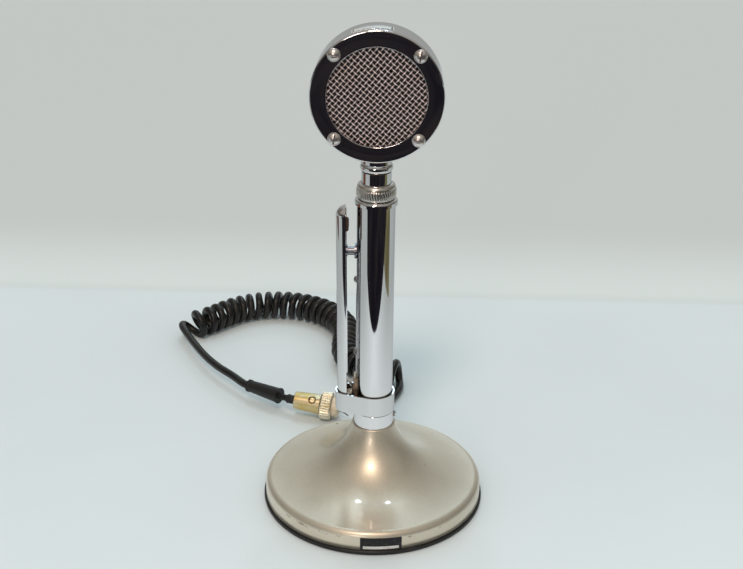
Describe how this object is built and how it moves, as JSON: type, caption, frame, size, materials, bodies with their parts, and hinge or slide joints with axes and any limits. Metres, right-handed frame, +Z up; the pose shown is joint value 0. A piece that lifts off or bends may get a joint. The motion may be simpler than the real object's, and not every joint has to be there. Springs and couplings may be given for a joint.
{
  "type": "desk microphone with crystal head",
  "caption": "Desk microphone with a round mesh-fronted crystal head on a grip-to-talk stand, a flared round base, and a curly cord with a screw-on plug.",
  "frame": {"origin": "on the table, under the axis of the stem, at the middle of the rubber foot ring", "axes": "+Z up along the stem, -Y out of the mesh front of the head, -X towards the grip bar, +Y towards the cord exit"},
  "size_m": [0.2321, 0.3302, 0.2937],
  "materials": {
    "foot_rubber": "matt black",
    "base_paint": "metallic taupe paint",
    "plain_steel": "satin",
    "aged_steel": "stained",
    "bright_chrome": "polished",
    "plain_brass": "satin",
    "plug_brass": "worn nickel over brass",
    "cream_insert": "cream",
    "brown_rubber": "dark brown",
    "brown_phenolic": "brown laminate",
    "wire_cover": "red",
    "case_aluminium": "satin",
    "crystal": "waxed crystal salt",
    "mesh_wire": "plated wire",
    "cord_rubber": "satin black"
  },
  "bodies": {
    "stand": {"base_rubber": "foot_rubber", "base_casting": "base_paint", "base_plate": "plain_steel", "base_plate_screws": "plain_steel", "stem_washer": "plain_steel", "stem_nut": "plain_steel", "cord_grommet": "foot_rubber", "cord_clamp": "plain_steel", "inner_cable": "cord_rubber", "stem_collar": "bright_chrome", "collar_set_screw": "plain_steel", "grip_tube": "bright_chrome", "hinge_bracket": "aged_steel", "bracket_screws": "plain_steel", "pivot_pin": "plain_steel", "plunger_bushing": "plain_brass", "switch_bracket": "plain_steel", "switch_screws": "plain_steel", "switch_insulators": "brown_phenolic", "rest_blade": "plain_brass", "make_blade": "plain_brass", "blade_tail": "plain_brass", "switch_clamp_plate": "plain_steel", "stack_screws": "plain_steel", "stem_wires": "wire_cover", "tube_cap": "bright_chrome", "socket_insert": "brown_phenolic", "socket_contacts": "plain_brass", "cord_lead": "cord_rubber", "cord_curls": "cord_rubber", "cord_tail": "cord_rubber", "cord_sleeve": "cord_rubber", "cord_core": "cord_rubber", "plug_barrel": "plug_brass", "plug_insert": "cream_insert"},
    "bar": {"grip_bar": "bright_chrome", "bar_bumper": "brown_rubber", "hinge_block": "aged_steel"},
    "band": {"lock_band": "bright_chrome"},
    "push_rod": {"plunger": "plain_steel"},
    "blade": {"moving_blade": "plain_brass"},
    "leaf": {"return_spring": "plain_steel"},
    "head": {"neck_sleeve": "bright_chrome", "neck_ring_nut": "plain_brass", "neck_plug": "brown_phenolic", "plug_pins": "plain_brass", "head_shell": "bright_chrome", "bezel_ring": "bright_chrome", "bezel_screws": "bright_chrome", "grille": "mesh_wire", "cartridge_gasket": "foot_rubber", "cartridge_case": "case_aluminium", "cartridge_cover": "case_aluminium", "diaphragm": "case_aluminium", "drive_pin": "plain_steel", "crystal_element": "crystal", "crystal_pads": "foot_rubber", "head_wires": "wire_cover"},
    "nut": {"coupling_nut": "bright_chrome"},
    "ring": {"plug_ring": "plug_brass"}
  },
  "joints": [
    {"name": "bar_press", "type": "hinge", "parent": "stand", "child": "bar", "pos_m": [-0.0152, 0, 0.066], "axis": [0, 1, 0], "range_deg": [0, 2], "stiffness_Nm_per_rad": 4, "springref_deg": -2.01},
    {"name": "plunger_slide", "type": "slide", "parent": "stand", "child": "push_rod", "axis": [1, 0, 0], "range_m": [0, 0.0034]},
    {"name": "blade_flex", "type": "hinge", "parent": "stand", "child": "blade", "pos_m": [-0.0064, 0, 0.12], "axis": [0, 1, 0], "range_deg": [0, 4.51]},
    {"name": "spring_flex", "type": "hinge", "parent": "stand", "child": "leaf", "pos_m": [-0.0128, 0, 0.0742], "axis": [0, 1, 0], "range_deg": [0, 3.3]},
    {"name": "band_slide", "type": "slide", "parent": "stand", "child": "band", "axis": [0, 0, 1], "range_m": [0, 0.03]},
    {"name": "head_lift", "type": "slide", "parent": "stand", "child": "head", "axis": [0, 0, 1], "range_m": [0, 0.028]},
    {"name": "nut_spin", "type": "hinge", "parent": "head", "child": "nut", "pos_m": [0, 0, 0.2], "axis": [0, 0, 1], "continuous": true},
    {"name": "ring_spin", "type": "hinge", "parent": "stand", "child": "ring", "pos_m": [-0.0579, 0.0912, 0.01195], "axis": [0.9849, -0.1525, -0.0819], "continuous": true}
  ],
  "couplings": [
    {"joint": "plunger_slide", "follows": "bar_press", "m_per_rad": 0.0973},
    {"joint": "blade_flex", "follows": "bar_press", "ratio": 2.2485},
    {"joint": "spring_flex", "follows": "bar_press", "ratio": 1.53}
  ]
}
